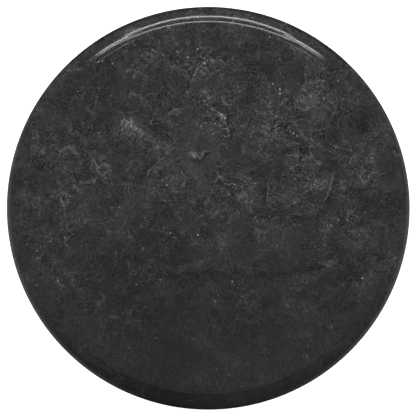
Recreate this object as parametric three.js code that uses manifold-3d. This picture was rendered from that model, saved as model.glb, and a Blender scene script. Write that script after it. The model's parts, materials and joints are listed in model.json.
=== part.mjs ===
// Round pedestal table: a moulded black stone top on a cast pedestal with four levelling feet.
// Millimetres, +Z up. The origin is on the floor under the centre of the table, and the front is -Y.
import * as THREE from "three";
import { mergeVertices } from "three/addons/utils/BufferGeometryUtils.js";
import Module from "manifold-3d";

const wasm = await Module();
wasm.setup();

// ---- Driving dimensions -------------------------------------------------------------------

const TABLE_HEIGHT = 740;
const TOP_RADIUS = 350;
const STONE_THICKNESS = 30;
const COLUMN_RADIUS = 38;
const BASE_RADIUS = 220;
const FLOOR_GAP = 12; // from the floor to the rim of the base, which is the height of a foot
const FOOT_CIRCLE = 170; // radius of the circle that the four feet stand on
const SCREW_CIRCLE = 180; // radius of the circle through the pads at the spider's four tips
const SCREW_SPREAD = 22; // from a pad's middle to each of its two screws
const FIT = 0.3; // clearance left wherever two pieces meet

// ---- How finely round things are faceted --------------------------------------------------

const FINE = 72;
const COARSE = 48;
const MIDDLING = 24;
const SMALL = 12;
const ARC_STEPS = 2; // a path gives each arc twice this many steps, and each other curve this many
const MOULDING_STEPS = 4; // the same, for the edge of the stone
const OVERSHOOT = 1; // how far a cutting shape runs past the faces that it cuts

// ---- Heights that follow from them --------------------------------------------------------

const STONE_BOTTOM = TABLE_HEIGHT - STONE_THICKNESS;
const BOND_LINE = 0.5; // epoxy between the stone and the sub-top
const SUB_TOP_THICKNESS = 12;
const SUB_TOP_BOTTOM = STONE_BOTTOM - BOND_LINE - SUB_TOP_THICKNESS;
const SPIDER_TOP = SUB_TOP_BOTTOM - FIT;
const SPIDER_PLATE = 7;
const SPIDER_HUB_HEIGHT = 36;
const SPIDER_HUB_BOTTOM = SPIDER_TOP - SPIDER_HUB_HEIGHT;
const SOCKET_DEPTH = 12; // how far the column stands in the spider and in the base
const BASE_TOP = 58;
const COLUMN_BOTTOM = BASE_TOP - SOCKET_DEPTH + FIT;
const COLUMN_TOP = SPIDER_HUB_BOTTOM + SOCKET_DEPTH - FIT;
const BASE_SEAT = 26; // underside of the base's middle, where the tie rod's washer bears

// ---- Shape helpers ------------------------------------------------------------------------

// A closed geometry as a manifold-3d solid.
function solidOf(geometry) {
  const bare = geometry.clone();
  bare.deleteAttribute("normal");
  bare.deleteAttribute("uv");
  const merged = mergeVertices(bare, 1e-3);
  return new wasm.Manifold(
    new wasm.Mesh({
      numProp: 3,
      vertProperties: merged.attributes.position.array,
      triVerts: new Uint32Array(merged.index.array),
    }),
  );
}

// A manifold-3d solid as a geometry.
function geometryOf(solid) {
  const mesh = solid.getMesh();
  const geometry = new THREE.BufferGeometry();
  geometry.setAttribute("position", new THREE.BufferAttribute(mesh.vertProperties, mesh.numProp));
  geometry.setIndex(new THREE.BufferAttribute(mesh.triVerts, 1));
  geometry.computeVertexNormals();
  return geometry;
}

// A path in (radius, height) spun about +Z. It runs anticlockwise: out along the bottom, back along the top.
function turned(path, facets, steps = ARC_STEPS) {
  const geometry = new THREE.LatheGeometry(path.getPoints(steps), facets);
  return geometry.rotateX(Math.PI / 2);
}

// A path through (radius, height) corners, closed on itself when the last corner is the first.
function cornered(...corners) {
  const path = new THREE.Path();
  path.moveTo(...corners[0]);
  corners.slice(1).forEach((corner) => path.lineTo(...corner));
  return path;
}

// A solid round bar along +Z, from one height to another.
function bar(radius, bottom, top, facets) {
  return turned(cornered([0, bottom], [radius, bottom], [radius, top], [0, top]), facets);
}

// A ring of rectangular section about +Z, with its outer corners taken off.
function ring(inner, outer, bottom, top, chamfer, facets) {
  const path = cornered(
    [inner, bottom],
    [outer - chamfer, bottom],
    [outer, bottom + chamfer],
    [outer, top - chamfer],
    [outer - chamfer, top],
    [inner, top],
    [inner, bottom],
  );
  return turned(path, facets);
}

// A hexagonal bar along +Z, measured across its flats.
function hexagon(acrossFlats, bottom, top) {
  const cornerRadius = acrossFlats / Math.sqrt(3);
  return bar(cornerRadius, bottom, top, 6);
}

// A flat outline in XY given a thickness, from one height up to another.
function plate(shape, bottom, top) {
  const options = { depth: top - bottom, bevelEnabled: false, curveSegments: ARC_STEPS * 2 };
  return new THREE.ExtrudeGeometry(shape, options).translate(0, 0, bottom);
}

// A rectangle in XY with round corners, about a middle on the X axis.
function roundedRectangle(middleX, lengthX, lengthY, corner) {
  const [left, right] = [middleX - lengthX / 2 + corner, middleX + lengthX / 2 - corner];
  const [low, high] = [-lengthY / 2 + corner, lengthY / 2 - corner];
  const quarter = Math.PI / 2;
  const shape = new THREE.Shape();
  shape.absarc(right, low, corner, -quarter, 0);
  shape.absarc(right, high, corner, 0, quarter);
  shape.absarc(left, high, corner, quarter, 2 * quarter);
  shape.absarc(left, low, corner, 2 * quarter, 3 * quarter);
  return shape;
}

// ---- Places that repeat -------------------------------------------------------------------

const CORNERS = [
  { name: "back_right", turn: 45 },
  { name: "back_left", turn: 135 },
  { name: "front_left", turn: 225 },
  { name: "front_right", turn: 315 },
].map(({ name, turn }) => ({ name, turn: THREE.MathUtils.degToRad(turn) }));

// A point given along and across an arm that points a turn away from +X.
function onArm(turn, along, across) {
  return new THREE.Vector2(along, across).rotateAround(new THREE.Vector2(), turn);
}

const SCREW_PLACES = CORNERS.flatMap(({ turn }) =>
  [-SCREW_SPREAD, SCREW_SPREAD].map((across) => onArm(turn, SCREW_CIRCLE, across)),
);

// ---- Stone top ----------------------------------------------------------------------------

// The edge, from the flat out to the rim: a faint wash, a shallow cove, then a long ovolo.
const WASH_WIDTH = 4.7;
const WASH_DROP = 0.2;
const COVE_WIDTH = 4.5;
const COVE_SLOPE = THREE.MathUtils.degToRad(22); // where it leaves the wash
const OVOLO_SLOPE = THREE.MathUtils.degToRad(14); // where the cove runs into the ovolo
const OVOLO_WIDTH = 25.6;
const OVOLO_DROP = 18.4;
const OVOLO_SHOULDER = 9.5; // how far out the ovolo holds the slope that it starts with
const OVOLO_CHEEK = 9.5; // how far above its end it turns upright
const UNDER_ROUND = 4;

function stoneTop() {
  const ovoloStart = TOP_RADIUS - OVOLO_WIDTH;
  const coveStart = ovoloStart - COVE_WIDTH;
  const coveTop = STONE_THICKNESS - WASH_DROP;
  const coveBend = coveTop - (COVE_WIDTH / 2) * Math.tan(COVE_SLOPE);
  const ovoloTop = coveBend - (COVE_WIDTH / 2) * Math.tan(OVOLO_SLOPE);
  const ovoloEnd = ovoloTop - OVOLO_DROP;
  const shoulder = [ovoloStart + OVOLO_SHOULDER, ovoloTop - OVOLO_SHOULDER * Math.tan(OVOLO_SLOPE)];
  const path = new THREE.Path();
  path.moveTo(0, 0);
  path.lineTo(TOP_RADIUS - UNDER_ROUND, 0);
  path.absarc(TOP_RADIUS - UNDER_ROUND, UNDER_ROUND, UNDER_ROUND, -Math.PI / 2, 0);
  path.lineTo(TOP_RADIUS, ovoloEnd);
  path.bezierCurveTo(TOP_RADIUS, ovoloEnd + OVOLO_CHEEK, ...shoulder, ovoloStart, ovoloTop);
  path.quadraticCurveTo(coveStart + COVE_WIDTH / 2, coveBend, coveStart, coveTop);
  path.lineTo(coveStart - WASH_WIDTH, STONE_THICKNESS);
  path.lineTo(0, STONE_THICKNESS);
  return turned(path, FINE, MOULDING_STEPS);
}

// ---- Plywood sub-top, its thread inserts and the screws -----------------------------------

const SUB_TOP_RADIUS = 260;
const SUB_TOP_CHAMFER = 4;
const INSERT_RADIUS = 5;
const INSERT_LENGTH = 10;
const SCREW_RADIUS = 3;
const SCREW_HEAD_RADIUS = 6;
const SCREW_HEAD_HEIGHT = 3.6;
const SCREW_FACE_RADIUS = 3.3; // the flat in the middle of its domed head
const SCREW_LENGTH = 15;
const SCREW_CLEARANCE = 0.5; // round its shank, in the spider
const SCREW_KEY = { acrossFlats: 4, depth: 2.2 }; // its hexagonal socket
const THREAD_CHAMFER = 1; // at the free end of every threaded shank

function subTop() {
  const path = cornered(
    [0, 0],
    [SUB_TOP_RADIUS - SUB_TOP_CHAMFER, 0],
    [SUB_TOP_RADIUS, SUB_TOP_CHAMFER],
    [SUB_TOP_RADIUS, SUB_TOP_THICKNESS],
    [0, SUB_TOP_THICKNESS],
  );
  const hole = solidOf(bar(INSERT_RADIUS + FIT, -OVERSHOOT, INSERT_LENGTH + FIT, SMALL));
  const drilled = SCREW_PLACES.reduce(
    (board, place) => board.subtract(hole.translate(place.x, place.y, 0)),
    solidOf(turned(path, COARSE)),
  );
  return geometryOf(drilled);
}

function threadInsert() {
  const bore = SCREW_RADIUS + FIT;
  const path = cornered(
    [bore, 0],
    [INSERT_RADIUS, 0],
    [INSERT_RADIUS, INSERT_LENGTH],
    [bore, INSERT_LENGTH],
    [bore, 0],
  );
  return turned(path, SMALL);
}

// A button-head socket screw, standing head down with the underside of its head at zero.
function topScrew() {
  const path = new THREE.Path();
  path.moveTo(0, -SCREW_HEAD_HEIGHT);
  path.lineTo(SCREW_FACE_RADIUS, -SCREW_HEAD_HEIGHT);
  path.quadraticCurveTo(SCREW_HEAD_RADIUS, -SCREW_HEAD_HEIGHT, SCREW_HEAD_RADIUS, 0);
  path.lineTo(SCREW_RADIUS, 0);
  path.lineTo(SCREW_RADIUS, SCREW_LENGTH - THREAD_CHAMFER);
  path.lineTo(SCREW_RADIUS - THREAD_CHAMFER, SCREW_LENGTH);
  path.lineTo(0, SCREW_LENGTH);
  const { acrossFlats, depth } = SCREW_KEY;
  const socket = hexagon(acrossFlats, -SCREW_HEAD_HEIGHT - OVERSHOOT, depth - SCREW_HEAD_HEIGHT);
  return geometryOf(solidOf(turned(path, SMALL)).subtract(solidOf(socket)));
}

// ---- Spider: the cast cross that carries the top -------------------------------------------

const SPIDER_NECK = { radius: 45, chamfer: 1.5 };
const SPIDER_FLANGE_RADIUS = 56;
const SPIDER_FLARE = { height: 12, bend: 4 }; // below the plate, where the neck opens into the flange
const ARM_ROOT_WIDTH = 38;
const ARM_TIP_WIDTH = 26;
const TIP_PAD = { length: 30, width: 72, corner: 10 };
const RIB_THICKNESS = 8;
const RIB_END = SCREW_CIRCLE - TIP_PAD.length / 2;
const RIB_ROOT = SPIDER_HUB_HEIGHT - 6; // its depth at the hub
const RIB_BEND = { along: RIB_END * 0.45, depth: SPIDER_PLATE + 4 };
const TIE_ROD_RADIUS = 6;
const TIE_ROD_TOP = SPIDER_TOP - 6;

// One arm along +X with its top face at zero: a tapering flat, the pad at its tip and the rib below it.
function spiderArm() {
  const flat = new THREE.Shape();
  flat.moveTo(0, -ARM_ROOT_WIDTH / 2);
  flat.lineTo(SCREW_CIRCLE, -ARM_TIP_WIDTH / 2);
  flat.lineTo(SCREW_CIRCLE, ARM_TIP_WIDTH / 2);
  flat.lineTo(0, ARM_ROOT_WIDTH / 2);
  const pad = roundedRectangle(SCREW_CIRCLE, TIP_PAD.length, TIP_PAD.width, TIP_PAD.corner);

  // The rib's side view, drawn in XY and then stood up along the arm. Its top is buried in the flat.
  const ribTop = -SPIDER_PLATE / 2;
  const web = new THREE.Shape();
  web.moveTo(0, ribTop);
  web.lineTo(0, -RIB_ROOT);
  web.quadraticCurveTo(RIB_BEND.along, -RIB_BEND.depth, RIB_END, -SPIDER_PLATE);
  web.lineTo(RIB_END, ribTop);
  const rib = plate(web, -RIB_THICKNESS / 2, RIB_THICKNESS / 2).rotateX(Math.PI / 2);

  const screwHole = solidOf(bar(SCREW_RADIUS + SCREW_CLEARANCE, -SPIDER_PLATE - OVERSHOOT, OVERSHOOT, SMALL));
  return solidOf(plate(flat, -SPIDER_PLATE, 0))
    .add(solidOf(plate(pad, -SPIDER_PLATE, 0)))
    .add(solidOf(rib))
    .subtract(screwHole.translate(SCREW_CIRCLE, -SCREW_SPREAD, 0))
    .subtract(screwHole.translate(SCREW_CIRCLE, SCREW_SPREAD, 0));
}

// The hub with its top face at zero, a flared flange above the neck that takes the column.
function spiderHub() {
  const { radius, chamfer } = SPIDER_NECK;
  const flareStart = -SPIDER_PLATE - SPIDER_FLARE.height;
  const flareBend = -SPIDER_PLATE - SPIDER_FLARE.bend;
  const path = new THREE.Path();
  path.moveTo(0, -SPIDER_HUB_HEIGHT);
  path.lineTo(radius - chamfer, -SPIDER_HUB_HEIGHT);
  path.lineTo(radius, -SPIDER_HUB_HEIGHT + chamfer);
  path.lineTo(radius, flareStart);
  path.quadraticCurveTo(radius, flareBend, SPIDER_FLANGE_RADIUS, -SPIDER_PLATE);
  path.lineTo(SPIDER_FLANGE_RADIUS, 0);
  path.lineTo(0, 0);
  return solidOf(turned(path, COARSE));
}

function spider() {
  const arm = spiderArm();
  const socketFloor = SOCKET_DEPTH - SPIDER_HUB_HEIGHT;
  const columnSocket = bar(COLUMN_RADIUS + FIT, -SPIDER_HUB_HEIGHT - OVERSHOOT, socketFloor, COARSE);
  const rodHole = bar(TIE_ROD_RADIUS + FIT, -SPIDER_HUB_HEIGHT, TIE_ROD_TOP + OVERSHOOT - SPIDER_TOP, SMALL);
  const cast = CORNERS.reduce(
    (cross, { turn }) => cross.add(arm.rotate([0, 0, THREE.MathUtils.radToDeg(turn)])),
    spiderHub(),
  );
  return geometryOf(cast.subtract(solidOf(columnSocket)).subtract(solidOf(rodHole)));
}

// ---- Column, its collars and the tie rod ---------------------------------------------------

const COLUMN_TUBE = { wall: 2, chamfer: 0.5 };
const UPPER_COLLAR = { radius: 45, height: 12 };
const LOWER_COLLAR = { radius: 52, height: 18, chamfer: 1, lip: 4 };
const LOWER_COLLAR_NECK = { wall: 4, round: 2, height: 15 }; // the upright stretch above its skirt
const LOWER_COLLAR_SWEEP = { in: 6, up: 1, down: 7 }; // how the skirt leaves the lip and meets the neck
const GRUB = { radius: 2.5, length: 5, chamfer: 0.8, keyAcrossFlats: 2.5, keyDepth: 2.5 };
const TIE_ROD_BOTTOM = 6.5;

function columnTube() {
  const inner = COLUMN_RADIUS - COLUMN_TUBE.wall;
  return ring(inner, COLUMN_RADIUS, COLUMN_BOTTOM, COLUMN_TOP, COLUMN_TUBE.chamfer, COARSE);
}

// A half-round bead around the column, pierced at the back for the grub screw that holds it up.
function upperCollar() {
  const bore = COLUMN_RADIUS + FIT;
  const { radius, height } = UPPER_COLLAR;
  const bulge = (radius - bore) / 2;
  const path = new THREE.Path();
  path.moveTo(bore, 0);
  path.lineTo(radius - bulge, 0);
  path.absellipse(radius - bulge, height / 2, bulge, height / 2, -Math.PI / 2, Math.PI / 2);
  path.lineTo(bore, height);
  path.lineTo(bore, 0);
  const grubHole = bar(GRUB.radius + FIT, COLUMN_RADIUS - OVERSHOOT, radius + OVERSHOOT, SMALL);
  grubHole.rotateX(-Math.PI / 2).translate(0, 0, height / 2);
  return geometryOf(solidOf(turned(path, COARSE)).subtract(solidOf(grubHole)));
}

// The grub screw along +Z with its tip at zero.
function grubScrew() {
  const path = cornered(
    [0, 0],
    [GRUB.radius - GRUB.chamfer, 0],
    [GRUB.radius, GRUB.chamfer],
    [GRUB.radius, GRUB.length],
    [0, GRUB.length],
  );
  const key = hexagon(GRUB.keyAcrossFlats, GRUB.length - GRUB.keyDepth, GRUB.length + OVERSHOOT);
  return geometryOf(solidOf(turned(path, SMALL)).subtract(solidOf(key)));
}

// A swept skirt around the foot of the column, standing on the base.
function lowerCollar() {
  const bore = COLUMN_RADIUS + FIT;
  const { radius, height, chamfer, lip } = LOWER_COLLAR;
  const { wall, round, height: neckBottom } = LOWER_COLLAR_NECK;
  const neck = bore + wall;
  const sweep = LOWER_COLLAR_SWEEP;
  const path = new THREE.Path();
  path.moveTo(bore, 0);
  path.lineTo(radius - chamfer, 0);
  path.lineTo(radius, chamfer);
  path.lineTo(radius, lip);
  path.bezierCurveTo(radius - sweep.in, lip + sweep.up, neck, neckBottom - sweep.down, neck, neckBottom);
  path.absarc(neck - round, height - round, round, 0, Math.PI / 2);
  path.lineTo(bore, height);
  path.lineTo(bore, 0);
  return turned(path, COARSE);
}

function tieRod() {
  return ring(0, TIE_ROD_RADIUS, TIE_ROD_BOTTOM, TIE_ROD_TOP, THREAD_CHAMFER, SMALL);
}

// ---- Base casting and what clamps it -------------------------------------------------------

const BASE_SHELL = 8; // wall thickness under the dome
const BASE_RIM = { width: 12, round: 3, shoulder: 5 }; // the face to the floor, and its two rounded edges
const DOME_EDGE = { radius: BASE_RADIUS - 4, height: 26 };
const DOME_SWELL = { radius: 150, height: 44 };
const DOME_FOOT = { radius: 72, height: 46 };
const DOME_POINTS = 5;
const BASE_HUB = { radius: 56, chamfer: 2 };
const HUB_SWEEP = { radius: BASE_HUB.radius + 2, height: DOME_FOOT.height + 1 };
const SEAT_RADIUS = 30;
const SEAT_CLEARANCE = 1;
const BASE_RIB = { thickness: 7, bottom: 18 };
const BOSS_RADIUS = 12;
const STUD_RADIUS = 4;
const STUD_TOP = 30;

// The outside as one solid: rim, shallow dome and hub.
function baseOutside() {
  const { round, shoulder } = BASE_RIM;
  const path = new THREE.Path();
  path.moveTo(0, FLOOR_GAP);
  path.lineTo(BASE_RADIUS - round, FLOOR_GAP);
  path.absarc(BASE_RADIUS - round, FLOOR_GAP + round, round, -Math.PI / 2, 0);
  path.lineTo(BASE_RADIUS, DOME_EDGE.height - shoulder);
  path.quadraticCurveTo(BASE_RADIUS, DOME_EDGE.height - shoulder / 4, DOME_EDGE.radius, DOME_EDGE.height);
  for (let step = 1; step <= DOME_POINTS; step += 1) {
    const point = domePoint(step / DOME_POINTS, 0);
    path.lineTo(point.x, point.y);
  }
  path.quadraticCurveTo(HUB_SWEEP.radius, HUB_SWEEP.height, BASE_HUB.radius, BASE_TOP - BASE_HUB.chamfer);
  path.lineTo(BASE_HUB.radius - BASE_HUB.chamfer, BASE_TOP);
  path.lineTo(0, BASE_TOP);
  return solidOf(turned(path, COARSE));
}

// A point on the dome's curve, from its edge at 0 to the foot of the hub at 1, sunk by a depth.
function domePoint(share, depth) {
  const curve = new THREE.QuadraticBezierCurve(
    new THREE.Vector2(DOME_EDGE.radius, DOME_EDGE.height - depth),
    new THREE.Vector2(DOME_SWELL.radius, DOME_SWELL.height - depth),
    new THREE.Vector2(DOME_FOOT.radius, DOME_FOOT.height - depth),
  );
  return curve.getPoint(share);
}

// The hollow under the dome, around the seat in the middle.
function baseHollow() {
  const roof = [];
  for (let step = 0.5; step < DOME_POINTS; step += 1) {
    roof.push(domePoint(step / DOME_POINTS, BASE_SHELL).toArray());
  }
  const path = cornered(
    [SEAT_RADIUS, 0],
    [BASE_RADIUS - BASE_RIM.width, 0],
    ...roof,
    [SEAT_RADIUS, DOME_FOOT.height - BASE_SHELL],
    [SEAT_RADIUS, 0],
  );
  return solidOf(turned(path, COARSE));
}

// What stays standing in the hollow: a rib and a threaded boss to each foot.
function baseStiffening() {
  const ribEnd = BASE_RADIUS - BASE_RIM.width / 2;
  const rib = new THREE.BoxGeometry(ribEnd - SEAT_RADIUS, BASE_RIB.thickness, BASE_TOP);
  rib.translate((ribEnd + SEAT_RADIUS) / 2, 0, BASE_RIB.bottom + BASE_TOP / 2);
  const boss = bar(BOSS_RADIUS, FLOOR_GAP, BASE_TOP, MIDDLING).translate(FOOT_CIRCLE, 0, 0);
  const one = solidOf(rib).add(solidOf(boss));
  const all = CORNERS.map(({ turn }) => one.rotate([0, 0, THREE.MathUtils.radToDeg(turn)]));
  return all.reduce((joined, next) => joined.add(next));
}

function baseCasting() {
  const seatRecess = bar(SEAT_RADIUS + SEAT_CLEARANCE, 0, BASE_SEAT, COARSE);
  const columnSocket = bar(COLUMN_RADIUS + FIT, BASE_TOP - SOCKET_DEPTH, BASE_TOP + OVERSHOOT, COARSE);
  const rodHole = bar(TIE_ROD_RADIUS + SEAT_CLEARANCE, 0, BASE_TOP, SMALL);
  const studHole = solidOf(bar(STUD_RADIUS + FIT, 0, STUD_TOP + OVERSHOOT, SMALL));
  const hollow = baseHollow().subtract(baseStiffening());
  let cast = baseOutside()
    .subtract(hollow)
    .subtract(solidOf(seatRecess))
    .subtract(solidOf(columnSocket))
    .subtract(solidOf(rodHole));
  for (const { turn } of CORNERS) {
    const place = onArm(turn, FOOT_CIRCLE, 0);
    cast = cast.subtract(studHole.translate(place.x, place.y, 0));
  }
  return geometryOf(cast);
}

const WASHER = { radius: 20, thickness: 3, chamfer: 0.4 };
const SPRING_WASHER = { radius: 10.5, thickness: 2.5, gap: 2.5, chamfer: 0.3 };
const NUT = { acrossFlats: 19, height: 10, chamfer: 1 };
const WASHER_BOTTOM = BASE_SEAT - FIT - WASHER.thickness;
const SPRING_WASHER_BOTTOM = WASHER_BOTTOM - FIT - SPRING_WASHER.thickness;
const NUT_BOTTOM = SPRING_WASHER_BOTTOM - FIT - NUT.height;

function baseWasher() {
  return ring(TIE_ROD_RADIUS + FIT, WASHER.radius, 0, WASHER.thickness, WASHER.chamfer, MIDDLING);
}

// A split ring: the saw cut is at +X.
function springWasher() {
  const { radius, thickness, gap, chamfer } = SPRING_WASHER;
  const whole = ring(TIE_ROD_RADIUS + FIT, radius, 0, thickness, chamfer, MIDDLING);
  const cut = new THREE.BoxGeometry(radius, gap, thickness * 3).translate(radius, 0, 0);
  return geometryOf(solidOf(whole).subtract(solidOf(cut)));
}

// A hexagon whose corners are turned off in a cone at both ends.
function rodNut() {
  const corner = NUT.acrossFlats / Math.sqrt(3);
  const cone = ring(0, corner, 0, NUT.height, NUT.chamfer, MIDDLING);
  const bore = bar(TIE_ROD_RADIUS + FIT, -OVERSHOOT, NUT.height + OVERSHOOT, SMALL);
  const hexagonal = solidOf(hexagon(NUT.acrossFlats, 0, NUT.height));
  return geometryOf(hexagonal.intersect(solidOf(cone)).subtract(solidOf(bore)));
}

// ---- Levelling feet ------------------------------------------------------------------------

const PAD = { radius: 18, height: 8, floor: 2, chamfer: 1, side: 4, crownRadius: 13 };
const STUD_BUTTON = { radius: 6, height: 3 }; // the round end that turns inside the pad
const STUD_NECK_RADIUS = 3.6;
const STUD_HEX = 13;

// The pad: a low cone with an undercut socket that the stud's button snaps into.
function footPad() {
  const socket = STUD_BUTTON.radius + FIT;
  const mouth = STUD_NECK_RADIUS + FIT;
  const shelf = PAD.floor + STUD_BUTTON.height + 2 * FIT;
  const path = cornered(
    [0, 0],
    [PAD.radius - PAD.chamfer, 0],
    [PAD.radius, PAD.chamfer],
    [PAD.radius, PAD.side],
    [PAD.crownRadius, PAD.height],
    [mouth, PAD.height],
    [mouth, shelf],
    [socket, shelf],
    [socket, PAD.floor],
    [0, PAD.floor],
  );
  return turned(path, MIDDLING);
}

// The stud: button, neck, hexagon for the spanner, and the threaded shank.
function footStud() {
  const button = PAD.floor + FIT;
  const neck = button + STUD_BUTTON.height;
  const hexBottom = PAD.height + FIT;
  const hexTop = FLOOR_GAP - FIT;
  const round = cornered(
    [0, button],
    [STUD_BUTTON.radius, button],
    [STUD_BUTTON.radius, neck],
    [STUD_NECK_RADIUS, neck],
    [STUD_NECK_RADIUS, hexTop - OVERSHOOT],
    [STUD_RADIUS, hexTop - OVERSHOOT],
    [STUD_RADIUS, STUD_TOP - THREAD_CHAMFER],
    [STUD_RADIUS - THREAD_CHAMFER, STUD_TOP],
    [0, STUD_TOP],
  );
  return geometryOf(solidOf(turned(round, SMALL)).add(solidOf(hexagon(STUD_HEX, hexBottom, hexTop))));
}

// ---- Materials -----------------------------------------------------------------------------

function material(color, roughness, metalness) {
  return new THREE.MeshStandardMaterial({ color, roughness, metalness });
}

const BLACK_STONE = material(0x2c2c2c, 0.25, 0);
const PLYWOOD = material(0xb08c5e, 0.7, 0);
const BLACK_PAINT = material(0x1b1b1c, 0.5, 0.2);
const ZINC = material(0xb4b6b8, 0.35, 1);
const BRASS = material(0xb6924a, 0.35, 1);
const NYLON = material(0x18181a, 0.6, 0);

// ---- Assembly ------------------------------------------------------------------------------

const table = new THREE.Group();

function place(name, geometry, look, x = 0, y = 0, z = 0) {
  const mesh = new THREE.Mesh(geometry, look);
  mesh.name = name;
  mesh.position.set(x, y, z);
  table.add(mesh);
  return mesh;
}

place("stone_top", stoneTop(), BLACK_STONE, 0, 0, STONE_BOTTOM);
place("sub_top", subTop(), PLYWOOD, 0, 0, SUB_TOP_BOTTOM);
SCREW_PLACES.forEach(({ x, y }, index) => {
  place(`thread_insert_${index + 1}`, threadInsert(), BRASS, x, y, SUB_TOP_BOTTOM);
  place(`top_screw_${index + 1}`, topScrew(), ZINC, x, y, SPIDER_TOP - SPIDER_PLATE - FIT);
});
place("spider", spider(), BLACK_PAINT, 0, 0, SPIDER_TOP);

const upperCollarBottom = SPIDER_HUB_BOTTOM - FIT - UPPER_COLLAR.height;
place("upper_collar", upperCollar(), BLACK_PAINT, 0, 0, upperCollarBottom);
const grub = place("collar_grub_screw", grubScrew(), ZINC, 0, COLUMN_RADIUS + FIT, 0);
grub.position.z = upperCollarBottom + UPPER_COLLAR.height / 2;
grub.rotation.x = -Math.PI / 2;

place("column_tube", columnTube(), BLACK_PAINT);
place("tie_rod", tieRod(), ZINC);
place("lower_collar", lowerCollar(), BLACK_PAINT, 0, 0, BASE_TOP + FIT);
place("base_casting", baseCasting(), BLACK_PAINT);
place("base_washer", baseWasher(), ZINC, 0, 0, WASHER_BOTTOM);
place("spring_washer", springWasher(), ZINC, 0, 0, SPRING_WASHER_BOTTOM);
place("tie_rod_nut", rodNut(), ZINC, 0, 0, NUT_BOTTOM);
for (const { name, turn } of CORNERS) {
  const { x, y } = onArm(turn, FOOT_CIRCLE, 0);
  place(`foot_pad_${name}`, footPad(), NYLON, x, y);
  place(`foot_stud_${name}`, footStud(), ZINC, x, y);
}

export default table;
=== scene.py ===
"""The looks of the round pedestal table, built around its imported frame.

Blender's units are metres, with +Z up and the front at -Y. Outlines are in millimetres, as (radius, height).
"""

import json
import math

import bmesh
import bpy
from mathutils import Matrix, Vector

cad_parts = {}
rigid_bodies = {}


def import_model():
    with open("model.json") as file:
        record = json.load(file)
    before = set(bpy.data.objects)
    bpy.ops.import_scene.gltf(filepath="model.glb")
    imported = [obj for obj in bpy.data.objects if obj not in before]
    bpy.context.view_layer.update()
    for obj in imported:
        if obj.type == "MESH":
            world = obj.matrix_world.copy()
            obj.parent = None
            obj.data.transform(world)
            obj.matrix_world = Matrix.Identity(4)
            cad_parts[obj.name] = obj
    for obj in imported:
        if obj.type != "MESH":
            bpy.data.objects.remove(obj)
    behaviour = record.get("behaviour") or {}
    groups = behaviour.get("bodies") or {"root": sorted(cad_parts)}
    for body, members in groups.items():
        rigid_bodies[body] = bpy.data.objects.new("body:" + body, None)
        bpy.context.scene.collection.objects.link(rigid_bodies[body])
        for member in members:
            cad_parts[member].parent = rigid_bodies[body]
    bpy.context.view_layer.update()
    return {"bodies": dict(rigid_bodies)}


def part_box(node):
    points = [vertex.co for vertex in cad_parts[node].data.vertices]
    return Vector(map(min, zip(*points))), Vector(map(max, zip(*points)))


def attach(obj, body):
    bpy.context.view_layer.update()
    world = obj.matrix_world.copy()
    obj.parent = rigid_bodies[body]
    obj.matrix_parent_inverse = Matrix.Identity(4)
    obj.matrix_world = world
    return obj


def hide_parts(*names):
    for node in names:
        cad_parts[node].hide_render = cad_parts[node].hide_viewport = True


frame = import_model()

MM = 0.001
TURN = 2 * math.pi
STATIC_BODY = "pedestal"
CORNERS = ("back_right", "back_left", "front_left", "front_right")
SCREWS = range(1, 9)


# ---- Sizes, read from the frame ----


def low(node):
    """The lowest corner of a CAD node, in millimetres."""
    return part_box(node)[0] / MM


def high(node):
    """The highest corner of a CAD node, in millimetres."""
    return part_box(node)[1] / MM


def heights(node):
    """The lowest and highest points of a CAD node, in millimetres."""
    return low(node).z, high(node).z


def middle(node):
    """The middle of a CAD node seen from above, in millimetres, at height zero."""
    centre = (low(node) + high(node)) / 2
    return Vector((centre.x, centre.y, 0))


TOP_RADIUS = high("stone_top").x
TABLE_HEIGHT = high("stone_top").z
STONE_BOTTOM = low("stone_top").z
SUB_TOP_RADIUS = high("sub_top").x
SUB_TOP_BOTTOM = low("sub_top").z
SUB_TOP_TOP = high("sub_top").z
SPIDER_TOP = high("spider").z
SPIDER_BOTTOM = low("spider").z
SPIDER_HEIGHT = SPIDER_TOP - SPIDER_BOTTOM
COLUMN_RADIUS = high("column_tube").x
COLUMN_BOTTOM = low("column_tube").z
COLUMN_TOP = high("column_tube").z
BASE_RADIUS = high("base_casting").x
BASE_TOP = high("base_casting").z
BASE_RIM = low("base_casting").z
ROD_RADIUS = high("tie_rod").x
ROD_BOTTOM = low("tie_rod").z
ROD_TOP = high("tie_rod").z
SCREW_PLACES = [middle(f"top_screw_{number}") for number in SCREWS]
SCREW_CIRCLE = (SCREW_PLACES[0] + SCREW_PLACES[1]).length / 2
FOOT_PLACES = {corner: middle(f"foot_pad_{corner}") for corner in CORNERS}
FOOT_CIRCLE = FOOT_PLACES["back_right"].length
SOCKET_DEPTH = 12  # how far the column stands in the spider and in the base
FIT = COLUMN_BOTTOM - (BASE_TOP - SOCKET_DEPTH)  # the clearance wherever two pieces meet
ROD_BORE = ROD_RADIUS + FIT


# ---- Outlines ----

CURVE_STEPS = 16
LONG_CURVE_STEPS = 40
FILLET_STEPS = 5
CORNER_STEPS = 6


def bezier(*controls, steps=CURVE_STEPS):
    """The points along a Bezier curve with any number of controls, both ends included."""
    points = []
    for step in range(steps + 1):
        row = [Vector(control) for control in controls]
        while len(row) > 1:
            row = [start.lerp(end, step / steps) for start, end in zip(row, row[1:])]
        points.append(tuple(row[0]))
    return points


def softened(*corners):
    """A path through corners, in which a corner given as (radius, height, fillet) is rounded."""
    path = []
    for index, corner in enumerate(corners):
        point = Vector(corner[:2])
        if len(corner) < 3:
            path.append(tuple(point))
            continue
        before = (Vector(corners[index - 1][:2]) - point).normalized()
        after = (Vector(corners[index + 1][:2]) - point).normalized()
        reach = corner[2] / math.tan(before.angle(after) / 2)
        path += bezier(point + before * reach, point, point + after * reach, steps=FILLET_STEPS)
    return path


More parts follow.
